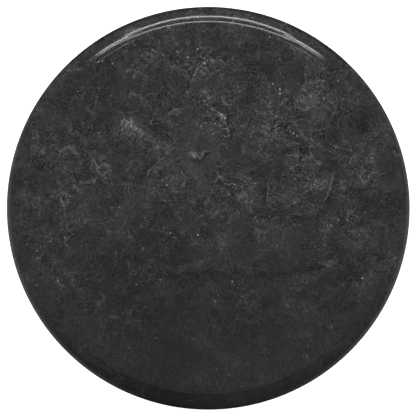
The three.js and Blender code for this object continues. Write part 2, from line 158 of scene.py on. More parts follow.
def hexagon(across_flats):
    """The radius of a hexagon at an angle."""
    return lambda angle: across_flats / 2 / math.cos(angle % (TURN / 6) - TURN / 12)


def fluted(radius, count, depth):
    """A radius with shallow flutes round it."""
    return lambda angle: radius - depth * max(0, math.cos(count * angle)) ** 2


def radius_at(radius, angle):
    return radius(angle) if callable(radius) else radius


def lesser(first, second):
    """The smaller of two radii at each angle."""
    return lambda angle: min(radius_at(first, angle), radius_at(second, angle))


THREAD_ROWS = 10  # rings of vertices in each turn of a thread
THREAD_LAND = 0.12  # share of the pitch that is flat at the crest, and again at the root


def thread(radius, depth, pitch, start, end):
    """The rows of a right-hand thread between two heights, fading out over half a turn at each end."""

    def row(height):
        fade = min(1, (height - bottom) / (pitch / 2), (top - height) / (pitch / 2))

        def at(angle):
            across = abs(2 * ((height / pitch - angle / TURN) % 1) - 1)
            groove = min(1, max(0, (across - THREAD_LAND) / (1 - 2 * THREAD_LAND)))
            return radius - depth * groove * fade

        return at, height

    bottom, top = min(start, end), max(start, end)
    count = round((top - bottom) / pitch * THREAD_ROWS)
    heights = [start + (end - start) * index / count for index in range(count + 1)]
    return [row(height) for height in heights]


# ---- Meshes ----

SEGMENTS = 192
FINE_SEGMENTS = 384
SMALL_SEGMENTS = 48
HEX_SEGMENTS = 72  # divides by six, so that a hexagon's corners fall on vertices
HEX_CHAMFER_STEPS = 5
SHARP_ANGLE = math.radians(35)  # edges that turn by more stay crisp


def stitch(work, first, second):
    """Quads, or triangles to a pole, between two rings of vertices."""
    count = max(len(first), len(second))
    for index in range(count):
        following = (index + 1) % count
        if len(first) == 1:
            work.faces.new((first[0], second[following], second[index]))
        elif len(second) == 1:
            work.faces.new((first[index], first[following], second[0]))
        else:
            work.faces.new((first[index], first[following], second[following], second[index]))


def lathe(path, segments=SEGMENTS):
    """A path of (radius, height) spun about +Z, in millimetres. A radius may be a function of the angle."""
    work = bmesh.new()
    closed = path[0] == path[-1]
    rings = []
    for radius, height in path[:-1] if closed else path:
        if radius == 0:
            rings.append([work.verts.new((0, 0, height))])
            continue
        ring = []
        for index in range(segments):
            angle = TURN * index / segments
            reach = radius_at(radius, angle)
            ring.append(work.verts.new((reach * math.cos(angle), reach * math.sin(angle), height)))
        rings.append(ring)
    for first, second in zip(rings, rings[1:] + rings[:1] if closed else rings[1:]):
        stitch(work, first, second)
    return work


def loft(sections):
    """A skin over rings of points, one ring to each section, closed at both ends, in millimetres."""
    work = bmesh.new()
    rings = [[work.verts.new(point) for point in section] for section in sections]
    for first, second in zip(rings, rings[1:]):
        stitch(work, first, second)
    work.faces.new(list(reversed(rings[0])))
    work.faces.new(rings[-1])
    return work


def moved(work, place=(0, 0, 0), turn=0.0, tilt=None):
    """The same mesh turned about +Z, or tilted first by a matrix, and then moved, in millimetres."""
    if tilt is not None:
        bmesh.ops.transform(work, matrix=tilt, verts=work.verts)
    bmesh.ops.rotate(work, matrix=Matrix.Rotation(turn, 3, "Z"), verts=work.verts)
    bmesh.ops.translate(work, vec=Vector(place), verts=work.verts)
    return work


def rod(radius, bottom, top, segments=SMALL_SEGMENTS):
    return lathe([(0, bottom), (radius, bottom), (radius, top), (0, top)], segments)


def washer(inner, outer, bottom, top, chamfer, segments=SEGMENTS):
    """A ring of rectangular section with its edges softened."""
    start = (inner, (bottom + top) / 2)
    corners = [(inner, bottom), (outer, bottom), (outer, top), (inner, top)]
    return lathe(softened(start, *[(*corner, chamfer) for corner in corners], start), segments)


def hexagonal_side(across_flats, bottom, top, chamfer):
    """Rows up the outside of a nut, whose corners are turned off at both ends."""
    flat, corner = across_flats / 2, across_flats / math.sqrt(3)
    rows = []
    for step in range(HEX_CHAMFER_STEPS + 1):
        share = step / HEX_CHAMFER_STEPS
        rows.append((lesser(hexagon(across_flats), flat + (corner - flat) * share), chamfer * share))
    below = [(radius, bottom + up) for radius, up in rows]
    return below + [(radius, top - up) for radius, up in reversed(rows)]


def finished_mesh(work, name):
    """The working mesh in metres, with its faces pointing out."""
    bmesh.ops.scale(work, vec=(MM, MM, MM), verts=work.verts)
    bmesh.ops.recalc_face_normals(work, faces=work.faces)
    mesh = bpy.data.meshes.new(name)
    work.to_mesh(mesh)
    work.free()
    return mesh


def linked(name, content):
    """A new object in the scene, for a mesh, a light or a camera."""
    thing = bpy.data.objects.new(name, content)
    bpy.context.scene.collection.objects.link(thing)
    return thing


def solid(work, name):
    """A new object in the scene from a working mesh."""
    return linked(name, finished_mesh(work, name))


def shade(thing):
    """Smooth shading, with the sharper edges kept crisp."""
    thing.data.polygons.foreach_set("use_smooth", [True] * len(thing.data.polygons))
    thing.data.set_sharp_from_angle(angle=SHARP_ANGLE)


def with_modifiers(thing):
    """Applies the modifiers of an object to its mesh."""
    graph = bpy.context.evaluated_depsgraph_get()
    mesh = bpy.data.meshes.new_from_object(thing.evaluated_get(graph))
    thing.modifiers.clear()
    thing.data = mesh


def gathered(name, works):
    """One object that holds several working meshes side by side."""
    whole = bmesh.new()
    for work in works:
        mesh = finished_mesh(work, name)
        whole.from_mesh(mesh)
        bpy.data.meshes.remove(mesh)
    mesh = bpy.data.meshes.new(name)
    whole.to_mesh(mesh)
    whole.free()
    return linked(name, mesh)


def combined(thing, operation, works):
    """Cuts an object by working meshes that don't touch each other, or joins it to them."""
    tool = gathered("tool", works)
    step = thing.modifiers.new("boolean", "BOOLEAN")
    step.operation = operation
    step.object = tool
    step.solver = "EXACT"
    with_modifiers(thing)
    bpy.data.objects.remove(tool)


def piece(work, name, material, body=STATIC_BODY):
    """A finished piece from a working mesh: it rides on a body and stands for the CAD node of its name."""
    thing = work if isinstance(work, bpy.types.Object) else solid(work, name)
    thing.name = name + "_fine"
    shade(thing)
    thing.data.materials.clear()
    thing.data.materials.append(material)
    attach(thing, body)
    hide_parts(name)
    return thing


# ---- Material nodes ----

MIX_FIRST, MIX_SECOND, MIX_RESULT = 6, 7, 2  # the places of the Mix node's sockets for colours


class Paint:
    """A material under construction. Most calls add a node and give back its main output."""

    def __init__(self, name):
        self.material = bpy.data.materials.new(name)
        self.material.use_nodes = True
        self.tree = self.material.node_tree
        self.shader = next(node for node in self.tree.nodes if node.type == "BSDF_PRINCIPLED")
        self.place = self.node("ShaderNodeTexCoord").outputs["Object"]

    def node(self, kind, inputs=None, **settings):
        """A new node, with its settings made and its named inputs set or linked."""
        made = self.tree.nodes.new(kind)
        for key, value in settings.items():
            setattr(made, key, value)
        for name, value in (inputs or {}).items():
            self.feed(made.inputs[name], value)
        return made

    def feed(self, socket, value):
        if isinstance(value, bpy.types.NodeSocket):
            self.tree.links.new(value, socket)
        else:
            socket.default_value = value

    def set(self, **values):
        """Sets or links the shader's own sockets: base_color is Base Color, and so on."""
        for key, value in values.items():
            name = " ".join(word.upper() if word == "ior" else word.capitalize() for word in key.split("_"))
            self.feed(self.shader.inputs[name], value)

    def math(self, operation, *values):
        made = self.node("ShaderNodeMath", operation=operation)
        for socket, value in zip(made.inputs, values):
            self.feed(socket, value)
        return made.outputs[0]

    def plus(self, first, second):
        return self.math("ADD", first, second)

    def minus(self, first, second):
        return self.math("SUBTRACT", first, second)

    def times(self, first, second, added=0.0):
        """A product, with something added to it."""
        return self.math("MULTIPLY_ADD", first, second, added)

    def absolute(self, value):
        return self.math("ABSOLUTE", value)

    def vector(self, operation, first, second):
        made = self.node("ShaderNodeVectorMath", operation=operation)
        self.feed(made.inputs[0], first)
        self.feed(made.inputs[1], second)
        return made.outputs["Value" if operation == "DISTANCE" else "Vector"]

    def scaled(self, vector, x, y, z):
        return self.vector("MULTIPLY", vector, (x, y, z))

    def span(self, value, start, end, to_start=0.0, to_end=1.0, smooth=False):
        """Maps a range of values onto another, and holds it at the ends."""
        made = self.node("ShaderNodeMapRange", interpolation_type="SMOOTHSTEP" if smooth else "LINEAR")
        for socket, number in zip(made.inputs, (value, start, end, to_start, to_end)):
            self.feed(socket, number)
        return made.outputs[0]

    def noise(self, scale, detail=3.0, roughness=0.5, where=None, colour=False):
        inputs = {"Vector": where or self.place, "Scale": scale, "Detail": detail, "Roughness": roughness}
        return self.node("ShaderNodeTexNoise", inputs).outputs["Color" if colour else "Fac"]

    def cells(self, scale, where, feature="F1"):
        """Round each of a crowd of points, how far off it is and its own random colour."""
        return self.node("ShaderNodeTexVoronoi", {"Vector": where, "Scale": scale}, feature=feature).outputs

    def warped(self, where, scale, amount, detail=2.0):
        """Coordinates pushed about by a noise."""
        push = self.noise(scale, detail, where=where, colour=True)
        centred = self.vector("SUBTRACT", push, (0.5, 0.5, 0.5))
        return self.vector("ADD", where, self.scaled(centred, amount, amount, amount))

    def blend(self, factor, first, second):
        made = self.node("ShaderNodeMix", {"Factor": factor}, data_type="RGBA")
        self.feed(made.inputs[MIX_FIRST], first)
        self.feed(made.inputs[MIX_SECOND], second)
        return made.outputs[MIX_RESULT]

    def grey(self, value):
        made = self.node("ShaderNodeCombineColor")
        for socket in made.inputs:
            self.feed(socket, value)
        return made.outputs[0]

    def split(self, vector):
        return self.node("ShaderNodeSeparateXYZ", {"Vector": vector}).outputs

    def bump(self, height, distance, **under):
        """The surface's direction over a relief. Normal may name a relief that this one lies on."""
        return self.node("ShaderNodeBump", {"Height": height, "Distance": distance, **under}).outputs[0]


# ---- Stone ----

# Pale clouds in the polished face: middle x and y and radius in metres, and how much lighter.
CLOUDS = (
    (0.00, 0.21, 0.085, 0.35),
    (-0.02, 0.10, 0.090, 0.80),
    (-0.135, 0.13, 0.040, 0.60),
    (0.14, 0.13, 0.090, 0.70),
    (0.16, 0.03, 0.075, 0.50),
    (0.19, 0.19, 0.055, 0.45),
    (0.06, 0.04, 0.055, 0.45),
    (-0.06, 0.03, 0.060, 0.40),
    (0.03, -0.05, 0.028, 0.60),
    (-0.25, 0.10, 0.080, 0.28),
    (-0.24, -0.02, 0.045, 0.35),
    (-0.29, -0.08, 0.060, 0.25),
    (0.10, -0.04, 0.050, 0.40),
    (0.26, -0.04, 0.045, 0.45),
    (0.27, -0.13, 0.040, 0.55),
    (0.16, -0.16, 0.060, 0.30),
    (0.27, 0.07, 0.050, 0.30),
    (-0.07, -0.13, 0.060, 0.15),
    (0.05, -0.30, 0.090, 0.22),
    (-0.16, -0.24, 0.080, 0.12),
)
# Dark blotches between them, in the same form.
SHADOWS = (
    (-0.20, 0.20, 0.080, 0.30),
    (0.09, 0.22, 0.045, 0.40),
    (0.265, 0.15, 0.030, 1.00),
    (0.285, 0.01, 0.050, 0.60),
    (0.215, -0.115, 0.080, 0.70),
    (0.08, -0.20, 0.085, 0.45),
    (0.02, -0.02, 0.020, 0.30),
    (-0.17, -0.12, 0.080, 0.30),
    (-0.10, -0.045, 0.045, 0.30),
    (-0.08, 0.135, 0.025, 0.30),
)


def far_from(paint, where, x, y):
    """How far a place is from a point of the polished face."""
    return paint.vector("DISTANCE", where, (x, y, TABLE_HEIGHT * MM))


def spots(paint, places, where):
    """The sum of soft round spots at the given places."""
    total = 0.0
    for x, y, radius, strength in places:
        away = far_from(paint, where, x, y)
        spot = paint.span(away, radius, radius * 0.25, 0.0, strength, smooth=True)
        total = paint.plus(spot, total)
    return total


STONE_LIGHTNESS = 0.188
DARKEST = 0.06
CALM_PLACE = (-0.02, 0.10)  # a smoother patch among the shells
CALM_RADIUS = 0.075


def stone_figure(paint):
    """The lightness of the stone, on a screen's scale, from all that shows in its polished face."""
    place = paint.place
    drift = paint.warped(place, 16, 0.05, detail=3)
    curl = paint.warped(drift, 60, 0.014, detail=3)

    clouds = spots(paint, CLOUDS, drift)
    shadows = spots(paint, SHADOWS, drift)
    large = paint.span(paint.noise(9, 4, 0.55, drift), 0.3, 0.7, -1, 1)
    patchy = paint.plus(clouds, paint.times(large, 0.14))
    stirred = paint.span(paint.noise(30, 3, 0.55, drift), 0.36, 0.66, -0.15, 0.45)
    calm_front = paint.span(paint.split(place)["Y"], -0.33, 0.04, 0.32, 1.0)
    lively = paint.plus(paint.span(patchy, -0.1, 0.7, 0.50, 0.95), stirred)
    lively = paint.times(lively, calm_front)
    from_calm = far_from(paint, drift, *CALM_PLACE)
    lively = paint.times(lively, paint.span(from_calm, CALM_RADIUS, 0.02, 1.0, 0.45, smooth=True))

    light = paint.times(patchy, 0.040)
    light = paint.times(shadows, -0.052, light)
    layers = (
        stone_clumps(paint, curl, lively),
        stone_grain(paint, drift, lively),
        stone_beds_and_front_shade(paint, drift),
        stone_veins(paint, curl, lively),
        stone_arcs(paint, curl),
        stone_flecks(paint, lively),
    )
    for layer in layers:
        light = paint.plus(light, layer)
    return paint.math("MAXIMUM", paint.plus(light, STONE_LIGHTNESS), DARKEST)


def stone_clumps(paint, where, lively):
    """Rounded lumps of slightly different tones, at two sizes, and sharp-edged shards over them."""
    total = 0.0
    for scale, amount in ((38, 0.024), (95, 0.028)):
        lumps = paint.cells(scale, where, feature="SMOOTH_F1")
        tone = paint.span(paint.split(lumps["Color"])["X"], 0.2, 0.9, -amount, amount)
        total = paint.plus(tone, total)
    broken = paint.cells(44, where)
    shard = paint.span(paint.split(broken["Color"])["Y"], 0.3, 0.8, -0.012, 0.012)
    total = paint.plus(shard, total)
    return paint.times(total, lively)


def stone_grain(paint, where, lively):
    """The crystals: finer and finer noises, of which the bright side stands out more than the dark."""
    total = 0.0
    for scale, roughness, amount, place in ((150, 0.7, 0.038, where), (340, 0.6, 0.102, paint.place)):
        crystals = paint.span(paint.noise(scale, 2, roughness, place), 0.25, 0.75, -1, 1)
        raised = paint.times(paint.absolute(crystals), 0.6, crystals)
        total = paint.times(raised, amount, total)
    return paint.times(total, lively)


def stone_beds_and_front_shade(paint, where):
    """Faint bedding across the front half, and painted shade that slowly darkens the stone towards the front.
    """
    wavy = paint.warped(where, 7, 0.02)
    along, across = paint.split(wavy)["X"], paint.split(wavy)["Y"]
    in_middle = paint.times(paint.span(along, -0.16, -0.08), paint.span(along, 0.20, 0.12))
    on_left = paint.times(paint.span(along, -0.20, -0.12), paint.span(along, 0.02, -0.06))
    step_down = paint.times(paint.span(across, -0.026, -0.040, 0.0, -0.020), on_left)
    streak = paint.absolute(paint.plus(across, 0.112))
    line = paint.times(paint.span(streak, 0.001, 0.012, -0.028, 0.0, smooth=True), in_middle)
    # painted shade: the stone's colour darkens towards the front, where less light falls
    painted_front_shade = paint.span(across, -0.02, -0.16, 0.0, -0.009, smooth=True)
    return paint.plus(paint.plus(step_down, line), painted_front_shade)


def stone_veins(paint, where, lively):
    """Short curling pale veins, where two noises cross their middle value."""
    total = 0.0
    for scale, width, strength in ((14, 0.013, 0.17), (30, 0.019, 0.15), (60, 0.030, 0.05)):
        ridge = paint.absolute(paint.minus(paint.noise(scale, 3, 0.55, where), 0.5))
        line = paint.span(ridge, width, 0.0, 0.0, strength)
        gate = paint.span(paint.noise(scale * 0.8, 2, 0.5), 0.52, 0.58)
        total = paint.times(line, gate, total)
    return paint.times(total, lively)


# Pale outlines of shells: middle x and y and radius in metres, and how much lighter.
ARCS = (
    (0.158, 0.038, 0.055, 0.13),
    (-0.020, 0.140, 0.050, 0.14),
    (0.010, 0.205, 0.045, 0.11),
    (-0.075, 0.050, 0.036, 0.14),
    (0.185, 0.175, 0.042, 0.09),
    (-0.230, 0.065, 0.045, 0.10),
    (0.045, 0.055, 0.024, 0.11),
)


def stone_arcs(paint, where):
    """Broken rings, each a shell cut across: a pale line, and a shadow outside it."""
    total = 0.0
    broken = paint.span(paint.noise(24, 2, 0.5), 0.45, 0.52)
    for x, y, radius, strength in ARCS:
        outward = paint.minus(far_from(paint, where, x, y), radius)
        line = paint.span(paint.absolute(outward), 0.0022, 0.0002, 0.0, strength)
        shadow = paint.span(outward, 0.0, 0.014, -0.45 * strength, 0.0)
        shadow = paint.times(shadow, paint.span(outward, 0.0, 0.001))
        total = paint.plus(paint.plus(line, shadow), total)
    return paint.times(total, broken)


def stone_flecks(paint, lively):
    """White flecks of shell, in loose clusters."""
    total = 0.0
    cluster = paint.span(paint.noise(26, 3, 0.6), 0.50, 0.66)
    for scale, size, strength, rarity in ((170, 0.36, 0.55, 0.88), (330, 0.42, 0.36, 0.84)):
        grid = paint.cells(scale, paint.warped(paint.place, 300, 0.004))
        dot = paint.span(grid["Distance"], size, size * 0.3, 0.0, strength)
        chosen = paint.span(paint.split(grid["Color"])["X"], rarity, rarity + 0.06)
        total = paint.times(paint.times(dot, chosen), cluster, total)
    return paint.times(total, paint.plus(lively, 0.25))


DISPLAY_GAMMA = 2.2


def polished_stone():
    paint = Paint("black_stone_polished")
    figure = stone_figure(paint)
    albedo = paint.times(paint.math("POWER", figure, DISPLAY_GAMMA), 0.80)
    polish = paint.span(paint.noise(40, 4, 0.6), 0.3, 0.7, 0.09, 0.14)
    ripple = paint.noise(55, 2, 0.5)
    paint.set(base_color=paint.grey(albedo), roughness=polish, ior=1.5)
    paint.set(normal=paint.bump(ripple, 0.00008))
    return paint.material


def sawn_stone():
    """The underside: the same stone, sawn and left matt, with the saw's fine parallel marks."""
    paint = Paint("black_stone_sawn")
    figure = stone_figure(paint)
    marks = paint.noise(1.0, 2, 0.5, paint.scaled(paint.place, 14, 900, 14))
    lifted = paint.times(marks, 0.10, paint.plus(figure, 0.08))
    paint.set(base_color=paint.grey(paint.math("POWER", lifted, DISPLAY_GAMMA)))
    paint.set(roughness=paint.span(marks, 0.3, 0.7, 0.62, 0.8), normal=paint.bump(marks, 0.0004))
    return paint.material


# The edge, from the flat out to the rim: a fine arris, a faint wash, a shallow cove and a long ovolo.
ARRIS_WIDTH = 0.6
ARRIS_DROP = 0.17
ARRIS_ROUND = 1.0
WASH_WIDTH = 4.7  # with the arris
WASH_DROP = 0.2  # with the arris
WASH_ROUND = 1.5
COVE_WIDTH = 4.5
COVE_SLOPE = math.radians(22)  # where it leaves the wash
OVOLO_SLOPE = math.radians(12)  # where the cove runs into the ovolo
OVOLO_WIDTH = 25.6
OVOLO_DROP = 18.4
OVOLO_SHOULDER = 12  # how far out the ovolo holds the slope that it starts with
OVOLO_CHEEK = 9.5  # how far above its end it turns upright
UNDER_ROUND = 4
FLAT_RINGS = (0, 60, 140, 220, 290)  # radii of the rings that divide the flat face

COVE_TOP = TABLE_HEIGHT - WASH_DROP
COVE_BEND = COVE_TOP - COVE_WIDTH / 2 * math.tan(COVE_SLOPE)
OVOLO_TOP = COVE_BEND - COVE_WIDTH / 2 * math.tan(OVOLO_SLOPE)
OVOLO_END = OVOLO_TOP - OVOLO_DROP


def stone_outline():
    ovolo_start = TOP_RADIUS - OVOLO_WIDTH
    cove_start = ovolo_start - COVE_WIDTH
    wash_start = cove_start - WASH_WIDTH
    shoulder = (ovolo_start + OVOLO_SHOULDER, OVOLO_TOP - OVOLO_SHOULDER * math.tan(OVOLO_SLOPE))
    cheek = (TOP_RADIUS, OVOLO_END + OVOLO_CHEEK)
    rim, ovolo_top, cove_top = (TOP_RADIUS, OVOLO_END), (ovolo_start, OVOLO_TOP), (cove_start, COVE_TOP)
    path = [(radius, STONE_BOTTOM) for radius in FLAT_RINGS]
    rim_bottom = (TOP_RADIUS, STONE_BOTTOM, UNDER_ROUND)
    path += softened((FLAT_RINGS[-1], STONE_BOTTOM), rim_bottom, rim)[1:-1]
    path += bezier(rim, cheek, shoulder, ovolo_top, steps=LONG_CURVE_STEPS)
    path += bezier(ovolo_top, (cove_start + COVE_WIDTH / 2, COVE_BEND), cove_top)[1:-1]
    path += softened(
        (cove_start + 1, COVE_TOP - math.tan(COVE_SLOPE)),
        (cove_start, COVE_TOP, WASH_ROUND),
        (wash_start + ARRIS_WIDTH, TABLE_HEIGHT - ARRIS_DROP, ARRIS_ROUND),
        (wash_start, TABLE_HEIGHT, ARRIS_ROUND),
        (FLAT_RINGS[-1], TABLE_HEIGHT),
    )[1:]
    path += [(radius, TABLE_HEIGHT) for radius in reversed(FLAT_RINGS[:-1])]
    return path


def make_stone_top():
    top = piece(lathe(stone_outline(), FINE_SEGMENTS), "stone_top", polished_stone())
    top.data.materials.append(sawn_stone())
    for face in top.data.polygons:
        if face.normal.z < -0.9:
            face.material_index = 1


# ---- The other materials ----


def coated(name, tone, roughness, peel, peel_depth, swell=0.0):
    """Black paint: a cloudy tone and gloss, a little dust, and the texture of its surface."""
    paint = Paint(name)
    cloud = paint.noise(14, 4, 0.6)
    dust = paint.span(paint.noise(420, 3, 0.6), 0.60, 0.74, 0.0, 0.010)
    shade_of_black = paint.span(cloud, 0.3, 0.7, tone * 0.8, tone * 1.3)
    paint.set(base_color=paint.grey(paint.plus(shade_of_black, dust)))
    paint.set(roughness=paint.span(cloud, 0.3, 0.7, roughness - 0.05, roughness + 0.06))
    surface = paint.bump(paint.noise(peel, 3, 0.55), peel_depth)
    if swell:
        surface = paint.bump(paint.noise(45, 2, 0.5), swell, Normal=surface)
    paint.set(normal=surface)
    return paint.material


def metal(name, bright, dull, roughness, tarnish):
    """Bare or plated metal: fine tool marks, and patches where the colour turns."""
    paint = Paint(name)
    patch = paint.span(paint.noise(tarnish, 4, 0.6), 0.35, 0.65, smooth=True)
    marks = paint.noise(1300, 3, 0.6)
    worn = paint.span(marks, 0.3, 0.7, roughness - 0.05, roughness + 0.05)
    paint.set(base_color=paint.blend(patch, bright, dull), metallic=1.0)
    paint.set(roughness=paint.times(patch, 0.08, worn), normal=paint.bump(marks, 0.00002))
    return paint.material


def moulded_nylon():
    """Black nylon with the fine spark-eroded texture of its mould, and scuffs low down."""
    paint = Paint("black_nylon")
    texture = paint.noise(1900, 3, 0.6)
    scuffs = paint.span(paint.noise(260, 3, 0.6), 0.58, 0.70)
    low_down = paint.span(paint.split(paint.place)["Z"], 0.0035, 0.0)
    scuffed = paint.times(scuffs, low_down)
    paint.set(base_color=paint.grey(paint.times(scuffed, 0.05, 0.014)))
    paint.set(roughness=paint.span(texture, 0.3, 0.7, 0.46, 0.60), normal=paint.bump(texture, 0.00003))
    return paint.material


PLIES = 9
BIRCH = (0.60, 0.44, 0.27, 1)
BIRCH_GRAIN = (0.42, 0.27, 0.14, 1)
END_GRAIN = (0.30, 0.18, 0.09, 1)
GLUE = (0.09, 0.05, 0.03, 1)


def birch_plywood():
    """Birch plies laid crosswise: pale face veneer, and light and dark layers at the edge."""
    paint = Paint("birch_plywood")
    ply = (SUB_TOP_TOP - SUB_TOP_BOTTOM) * MM / PLIES
    height = paint.minus(paint.split(paint.place)["Z"], SUB_TOP_BOTTOM * MM)
    level = paint.times(height, 1 / ply, 0.02)
    crossed = paint.math("MODULO", paint.math("FLOOR", level), 2)
    from_middle = paint.absolute(paint.minus(paint.math("FRACT", level), 0.5))
    glue = paint.times(paint.span(from_middle, 0.43, 0.48), paint.span(level, 0.1, 0.2))

    wavy = paint.warped(paint.place, 5, 0.012)
    grain = paint.noise(1.0, 4, 0.6, paint.scaled(wavy, 9, 300, 60))
    flame = paint.noise(1.0, 3, 0.5, paint.scaled(wavy, 2.5, 26, 3))
    streaks = paint.times(flame, 0.6, paint.times(grain, 0.6))
    veneer = paint.blend(paint.span(streaks, 0.42, 0.78), BIRCH, BIRCH_GRAIN)
    pores = paint.noise(1.0, 2, 0.6, paint.scaled(paint.place, 700, 700, 260))
    ends = paint.blend(paint.span(pores, 0.35, 0.65), END_GRAIN, BIRCH_GRAIN)
    layers = paint.blend(glue, paint.blend(crossed, veneer, ends), GLUE)
    paint.set(base_color=layers, roughness=paint.span(grain, 0.3, 0.7, 0.52, 0.68))
    paint.set(normal=paint.bump(grain, 0.00012))
    return paint.material


# ---- The pieces under the stone ----

ARM_TURNS = [math.atan2(place.y, place.x) for place in FOOT_PLACES.values()]
SUB_TOP_CHAMFER = 4
INSERT = {"radius": 5, "bore": 3.3, "length": 10, "thread_depth": 0.7, "pitch": 2.5}
SCREW = {"radius": 3, "thread_depth": 0.6, "pitch": 1.0, "head": 6, "head_height": 3.6, "face": 3.3, "key": 4}


def on_screw_places(radius, bottom, top):
    """A rod at the place of each screw."""
    return [moved(rod(radius, bottom, top), place) for place in SCREW_PLACES]


def make_sub_top(material):
    """The round plywood board bonded under the stone, with a blind hole to each insert."""
    edge = SUB_TOP_RADIUS
    outline = softened(
        (0, SUB_TOP_BOTTOM),
        (edge - SUB_TOP_CHAMFER, SUB_TOP_BOTTOM, 1.2),
        (edge, SUB_TOP_BOTTOM + SUB_TOP_CHAMFER, 1.2),
        (edge, SUB_TOP_TOP, 0.3),
        (0, SUB_TOP_TOP),
    )
    board = solid(lathe(outline), "sub_top")
    end = SUB_TOP_BOTTOM + INSERT["length"] + FIT
    combined(board, "DIFFERENCE", on_screw_places(INSERT["radius"] + FIT, SUB_TOP_BOTTOM - 1, end))
    piece(board, "sub_top", material)


def insert_outline(bottom):
    radius, bore, top = INSERT["radius"], INSERT["bore"], bottom + INSERT["length"]
    mouth = bore + 0.5
    return [
        (mouth, bottom),
        *thread(radius, INSERT["thread_depth"], INSERT["pitch"], bottom + 0.4, top - 0.4),
        (mouth, top),
        (bore, top - 0.5),
        (bore, bottom + 0.5),
        (mouth, bottom),
    ]


def screw_outline(bottom, top):
    """A button-head socket screw, head down."""
    seat = bottom + SCREW["head_height"]
    face, head, shank, key = SCREW["face"], SCREW["head"], SCREW["radius"], SCREW["key"]
    socket_floor = bottom + 2.2
    return [
        (0, socket_floor + 0.5),
        (key * 0.4, socket_floor),
        (hexagon(key), socket_floor),
        (hexagon(key), bottom + 0.25),
        (hexagon(key + 0.5), bottom),
        *bezier((face, bottom), (head - 0.6, bottom + 0.2), (head, seat - 1.4), (head, seat - 0.2), steps=10),
        (head - 0.2, seat),
        (shank + 0.3, seat),
        (shank, seat + 0.3),
        *thread(shank, SCREW["thread_depth"], SCREW["pitch"], seat + 0.5, top - 1),
        (shank - 0.8, top),
        (0, top),
    ]


def make_top_screws(steel, brass):
    for number in SCREWS:
        insert, screw = f"thread_insert_{number}", f"top_screw_{number}"
        work = moved(lathe(insert_outline(low(insert).z), SMALL_SEGMENTS), middle(insert))
        piece(work, insert, brass)
        outline = screw_outline(*heights(screw))
        piece(moved(lathe(outline, HEX_SEGMENTS), middle(screw)), screw, steel)


SPIDER_PLATE = 7
SPIDER_NECK = 45
SPIDER_FLANGE = 56
ARM_ROOT_WIDTH = 38
ARM_TIP_WIDTH = 26
TIP_PAD = {"length": 30, "width": 72, "corner": 10}
RIB_END = SCREW_CIRCLE - TIP_PAD["length"] / 2
RIB_ROOT = SPIDER_HEIGHT - 6
VOXEL = 1.25
MACHINING = 1.5  # what is cast proud of a face that is machined


def rounded_rectangle(middle_x, length, width, corner, height):
    """A ring of points in a level plane."""
    ring = []
    for quarter, (side_x, side_y) in enumerate(((1, 1), (-1, 1), (-1, -1), (1, -1))):
        centre_x = middle_x + side_x * (length / 2 - corner)
        centre_y = side_y * (width / 2 - corner)
        for step in range(CORNER_STEPS + 1):
            angle = TURN / 4 * (quarter + step / CORNER_STEPS)
            ring.append((centre_x + corner * math.cos(angle), centre_y + corner * math.sin(angle), height))
    return ring


def spider_arm_shapes():
    """An arm along +X: a tapering flat, the pad at its tip and a rib below, all with draft."""
    top, bottom = SPIDER_TOP + MACHINING, SPIDER_TOP - SPIDER_PLATE
    flat = []
    for height, draft in ((bottom, 0.8), (top, 0.0)):
        root, tip = ARM_ROOT_WIDTH / 2 - draft, ARM_TIP_WIDTH / 2 - draft
        corners = ((0, -root), (SCREW_CIRCLE, -tip), (SCREW_CIRCLE, tip), (0, root))
        flat.append([(*corner, height) for corner in corners])
    length, width, corner = TIP_PAD["length"], TIP_PAD["width"], TIP_PAD["corner"]
    pad = [
        rounded_rectangle(SCREW_CIRCLE, length - 1.2, width - 1.2, corner, bottom),
        rounded_rectangle(SCREW_CIRCLE, length, width, corner, bottom + 3),
        rounded_rectangle(SCREW_CIRCLE, length, width, corner, top),
    ]
    rib = []
    curve = bezier((0, RIB_ROOT), (RIB_END * 0.45, SPIDER_PLATE + 4), (RIB_END, SPIDER_PLATE))
    for along, depth in curve:
        foot, root = SPIDER_TOP - depth, bottom + 2
        rib.append([(along, y, z) for y, z in ((-3.2, foot), (3.2, foot), (4.6, root), (-4.6, root))])
    return [loft(flat), loft(pad), loft(rib)]


def make_spider(material):
    """The cast cross: its shapes melted together, then machined flat above and below, bored and drilled."""
    hub = softened(
        (0, SPIDER_BOTTOM - MACHINING),
        (SPIDER_NECK, SPIDER_BOTTOM - MACHINING),
        (SPIDER_NECK, SPIDER_TOP - SPIDER_PLATE - 6, 10),
        (SPIDER_FLANGE, SPIDER_TOP - SPIDER_PLATE),
        (SPIDER_FLANGE, SPIDER_TOP + MACHINING),
        (0, SPIDER_TOP + MACHINING),
    )
    shapes = [lathe(hub)]
    for turn in ARM_TURNS:
        shapes += [moved(shape, turn=turn) for shape in spider_arm_shapes()]
    cast = gathered("spider", shapes)
    melt = cast.modifiers.new("melt", "REMESH")
    melt.mode = "VOXEL"
    melt.voxel_size = VOXEL * MM
    soften = cast.modifiers.new("soften", "SMOOTH")
    soften.factor = 0.5
    soften.iterations = 5
    with_modifiers(cast)

    socket = COLUMN_RADIUS + FIT
    below, floor = SPIDER_BOTTOM - 4 * MACHINING, SPIDER_BOTTOM + SOCKET_DEPTH
    combined(cast, "DIFFERENCE", [
        rod(SCREW_CIRCLE + 40, SPIDER_TOP, SPIDER_TOP + 10, SEGMENTS),
        rod(SPIDER_FLANGE + 10, SPIDER_BOTTOM - 10, SPIDER_BOTTOM, SEGMENTS),
    ])
    bore = [(0, below), (socket + 0.6, below), (socket + 0.6, SPIDER_BOTTOM), (socket, SPIDER_BOTTOM + 0.6)]
    bore += [(socket, floor), (ROD_BORE, floor), (ROD_BORE, ROD_TOP + 1), (0, ROD_TOP + 1)]
    through = on_screw_places(SCREW["radius"] + 0.5, SPIDER_TOP - 2 * SPIDER_PLATE, SPIDER_TOP + 5)
    combined(cast, "DIFFERENCE", [lathe(bore), *through])
    piece(cast, "spider", material)


# ---- Column, collars and tie rod ----

